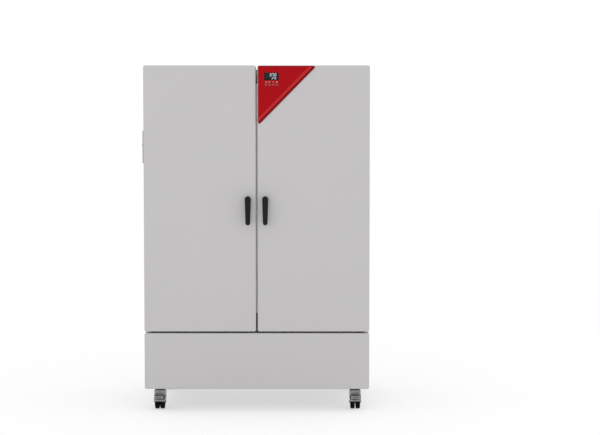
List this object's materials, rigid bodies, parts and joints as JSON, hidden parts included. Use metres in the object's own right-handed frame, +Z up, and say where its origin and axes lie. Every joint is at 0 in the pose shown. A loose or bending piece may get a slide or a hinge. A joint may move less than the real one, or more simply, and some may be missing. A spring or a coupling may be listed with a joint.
{
  "type": "cooling incubator",
  "caption": "Free-standing cooled laboratory incubator with outer doors over inner glass doors, wire shelves, a three-cornered control fascia and castors.",
  "frame": {"origin": "on the floor, under the middle of the cabinet's plan", "axes": "+Z up, -Y out of the front through the doors, +X to the viewer's right"},
  "size_m": [1.2728, 0.9436, 1.925],
  "materials": {
    "casing_paint": "satin",
    "door_paint": "satin",
    "door_liner_steel": "satin",
    "chamber_steel": "satin",
    "foam": "matte",
    "gasket_rubber": "matte",
    "black_plastic": "satin",
    "grey_plastic": "satin",
    "fascia_red": "satin",
    "display_black": "gloss",
    "key_plastic": "satin",
    "clear_glass": "gloss",
    "bright_steel": "satin",
    "shelf_chrome": "polished",
    "galvanised_steel": "satin",
    "coil_metal": "satin",
    "heater_steel": "satin",
    "motor_enamel": "satin",
    "fan_plastic": "matte",
    "port_steel": "satin",
    "silicone": "matte",
    "tyre_rubber": "matte"
  },
  "bodies": {
    "cabinet": {"outer_casing": "casing_paint", "rear_cover": "casing_paint", "insulation_foam": "foam", "chamber_liner": "chamber_steel", "air_baffle": "chamber_steel", "evaporator_coil": "coil_metal", "heater_coil": "heater_steel", "fan_motor": "motor_enamel", "base_frame": "galvanised_steel", "base_front_panel": "door_paint", "compressor": "motor_enamel", "condenser": "coil_metal", "power_inlet": "black_plastic", "door_catches": "black_plastic", "hinge_brackets": "bright_steel", "glass_door_pivots": "bright_steel", "side_control_box": "grey_plastic", "access_port": "port_steel", "cover_screws": "bright_steel", "castor_plates": "bright_steel"},
    "right_door": {"right_door_skin": "door_paint", "right_door_liner": "door_liner_steel", "right_door_foam": "foam", "right_door_gasket": "gasket_rubber", "control_fascia": "fascia_red", "display_window": "display_black"},
    "right_handle": {"right_handle": "black_plastic", "right_lock_pinion": "bright_steel"},
    "right_lock_rod": {"right_lock_rod": "bright_steel"},
    "right_glass": {"right_glass_door": "clear_glass", "right_glass_fittings": "black_plastic"},
    "left_door": {"left_door_skin": "door_paint", "left_door_liner": "door_liner_steel", "left_door_foam": "foam", "left_door_gasket": "gasket_rubber"},
    "left_handle": {"left_handle": "black_plastic", "left_lock_pinion": "bright_steel"},
    "left_lock_rod": {"left_lock_rod": "bright_steel"},
    "left_glass": {"left_glass_door": "clear_glass", "left_glass_fittings": "black_plastic"},
    "circulation_fan": {"circulation_fan": "fan_plastic"},
    "condenser_fan": {"condenser_fan": "fan_plastic"},
    "lower_shelf": {"lower_shelf": "shelf_chrome"},
    "upper_shelf": {"upper_shelf": "shelf_chrome"},
    "port_plug": {"port_plug": "silicone"},
    "main_switch": {"main_switch": "black_plastic"},
    "key_1": {"key_1": "key_plastic"},
    "key_2": {"key_2": "key_plastic"},
    "key_3": {"key_3": "key_plastic"},
    "key_4": {"key_4": "key_plastic"},
    "left_front_fork": {"left_front_fork": "bright_steel"},
    "left_front_wheels": {"left_front_wheels": "tyre_rubber"},
    "left_front_brake_pedal": {"left_front_brake_pedal": "bright_steel"},
    "right_front_fork": {"right_front_fork": "bright_steel"},
    "right_front_wheels": {"right_front_wheels": "tyre_rubber"},
    "right_front_brake_pedal": {"right_front_brake_pedal": "bright_steel"},
    "left_rear_fork": {"left_rear_fork": "bright_steel"},
    "left_rear_wheels": {"left_rear_wheels": "tyre_rubber"},
    "right_rear_fork": {"right_rear_fork": "bright_steel"},
    "right_rear_wheels": {"right_rear_wheels": "tyre_rubber"}
  },
  "joints": [
    {"name": "right_door_hinge", "type": "hinge", "parent": "cabinet", "child": "right_door", "pos_m": [0.605, -0.405, 1.18], "axis": [0, 0, 1], "range_deg": [0, 110]},
    {"name": "right_lock_slide", "type": "slide", "parent": "right_door", "child": "right_lock_rod", "axis": [0, 0, -1], "range_m": [0, 0.0157]},
    {"name": "right_handle_turn", "type": "hinge", "parent": "right_door", "child": "right_handle", "pos_m": [0.048, -0.445, 1.18825], "axis": [0, -1, 0], "range_deg": [0, 90]},
    {"name": "right_glass_hinge", "type": "hinge", "parent": "cabinet", "child": "right_glass", "pos_m": [0.488, -0.345, 1.19], "axis": [0, 0, 1], "range_deg": [0, 99.5]},
    {"name": "left_door_hinge", "type": "hinge", "parent": "cabinet", "child": "left_door", "pos_m": [-0.605, -0.405, 1.18], "axis": [0, 0, -1], "range_deg": [0, 110]},
    {"name": "left_lock_slide", "type": "slide", "parent": "left_door", "child": "left_lock_rod", "axis": [0, 0, -1], "range_m": [0, 0.0157]},
    {"name": "left_handle_turn", "type": "hinge", "parent": "left_door", "child": "left_handle", "pos_m": [-0.048, -0.445, 1.18825], "axis": [0, 1, 0], "range_deg": [0, 90]},
    {"name": "left_glass_hinge", "type": "hinge", "parent": "cabinet", "child": "left_glass", "pos_m": [-0.488, -0.345, 1.19], "axis": [0, 0, -1], "range_deg": [0, 99.5]},
    {"name": "circulation_fan_spin", "type": "hinge", "parent": "cabinet", "child": "circulation_fan", "pos_m": [0, 0.2795, 1.465], "axis": [0, 1, 0], "continuous": true},
    {"name": "condenser_fan_spin", "type": "hinge", "parent": "cabinet", "child": "condenser_fan", "pos_m": [0.27, 0.295, 0.2875], "axis": [0, 1, 0], "continuous": true},
    {"name": "lower_shelf_slide", "type": "slide", "parent": "cabinet", "child": "lower_shelf", "axis": [0, -1, 0], "range_m": [0, 0.055]},
    {"name": "upper_shelf_slide", "type": "slide", "parent": "cabinet", "child": "upper_shelf", "axis": [0, -1, 0], "range_m": [0, 0.055]},
    {"name": "port_plug_slide", "type": "slide", "parent": "cabinet", "child": "port_plug", "axis": [-1, 0, 0], "range_m": [0, 0.16]},
    {"name": "main_switch_rock", "type": "hinge", "parent": "cabinet", "child": "main_switch", "pos_m": [-0.637, -0.31, 1.49884], "axis": [0, -1, 0], "range_deg": [0, 14]},
    {"name": "key_1_press", "type": "slide", "parent": "right_door", "child": "key_1", "axis": [0, 1, 0], "range_m": [0, 0.0008], "stiffness_N_per_m": 500},
    {"name": "key_2_press", "type": "slide", "parent": "right_door", "child": "key_2", "axis": [0, 1, 0], "range_m": [0, 0.0008], "stiffness_N_per_m": 500},
    {"name": "key_3_press", "type": "slide", "parent": "right_door", "child": "key_3", "axis": [0, 1, 0], "range_m": [0, 0.0008], "stiffness_N_per_m": 500},
    {"name": "key_4_press", "type": "slide", "parent": "right_door", "child": "key_4", "axis": [0, 1, 0], "range_m": [0, 0.0008], "stiffness_N_per_m": 500},
    {"name": "left_front_swivel", "type": "hinge", "parent": "cabinet", "child": "left_front_fork", "pos_m": [-0.551, -0.293, 0.1], "axis": [0, 0, 1], "continuous": true},
    {"name": "left_front_roll", "type": "hinge", "parent": "left_front_fork", "child": "left_front_wheels", "pos_m": [-0.551, -0.328, 0.04], "axis": [1, 0, 0], "continuous": true},
    {"name": "left_front_brake", "type": "hinge", "parent": "left_front_fork", "child": "left_front_brake_pedal", "pos_m": [-0.551, -0.376, 0.082], "axis": [1, 0, 0], "range_deg": [0, 12]},
    {"name": "right_front_swivel", "type": "hinge", "parent": "cabinet", "child": "right_front_fork", "pos_m": [0.551, -0.293, 0.1], "axis": [0, 0, 1], "continuous": true},
    {"name": "right_front_roll", "type": "hinge", "parent": "right_front_fork", "child": "right_front_wheels", "pos_m": [0.551, -0.328, 0.04], "axis": [1, 0, 0], "continuous": true},
    {"name": "right_front_brake", "type": "hinge", "parent": "right_front_fork", "child": "right_front_brake_pedal", "pos_m": [0.551, -0.376, 0.082], "axis": [1, 0, 0], "range_deg": [0, 12]},
    {"name": "left_rear_swivel", "type": "hinge", "parent": "cabinet", "child": "left_rear_fork", "pos_m": [-0.551, 0.35, 0.1], "axis": [0, 0, 1], "continuous": true},
    {"name": "left_rear_roll", "type": "hinge", "parent": "left_rear_fork", "child": "left_rear_wheels", "pos_m": [-0.551, 0.315, 0.04], "axis": [1, 0, 0], "continuous": true},
    {"name": "right_rear_swivel", "type": "hinge", "parent": "cabinet", "child": "right_rear_fork", "pos_m": [0.551, 0.35, 0.1], "axis": [0, 0, 1], "continuous": true},
    {"name": "right_rear_roll", "type": "hinge", "parent": "right_rear_fork", "child": "right_rear_wheels", "pos_m": [0.551, 0.315, 0.04], "axis": [1, 0, 0], "continuous": true}
  ],
  "couplings": [
    {"joint": "right_handle_turn", "follows": "right_lock_slide", "rad_per_m": 100},
    {"joint": "right_glass_hinge", "follows": "right_door_hinge", "ratio": 0.9},
    {"joint": "left_handle_turn", "follows": "left_lock_slide", "rad_per_m": 100},
    {"joint": "left_glass_hinge", "follows": "left_door_hinge", "ratio": 0.9}
  ]
}
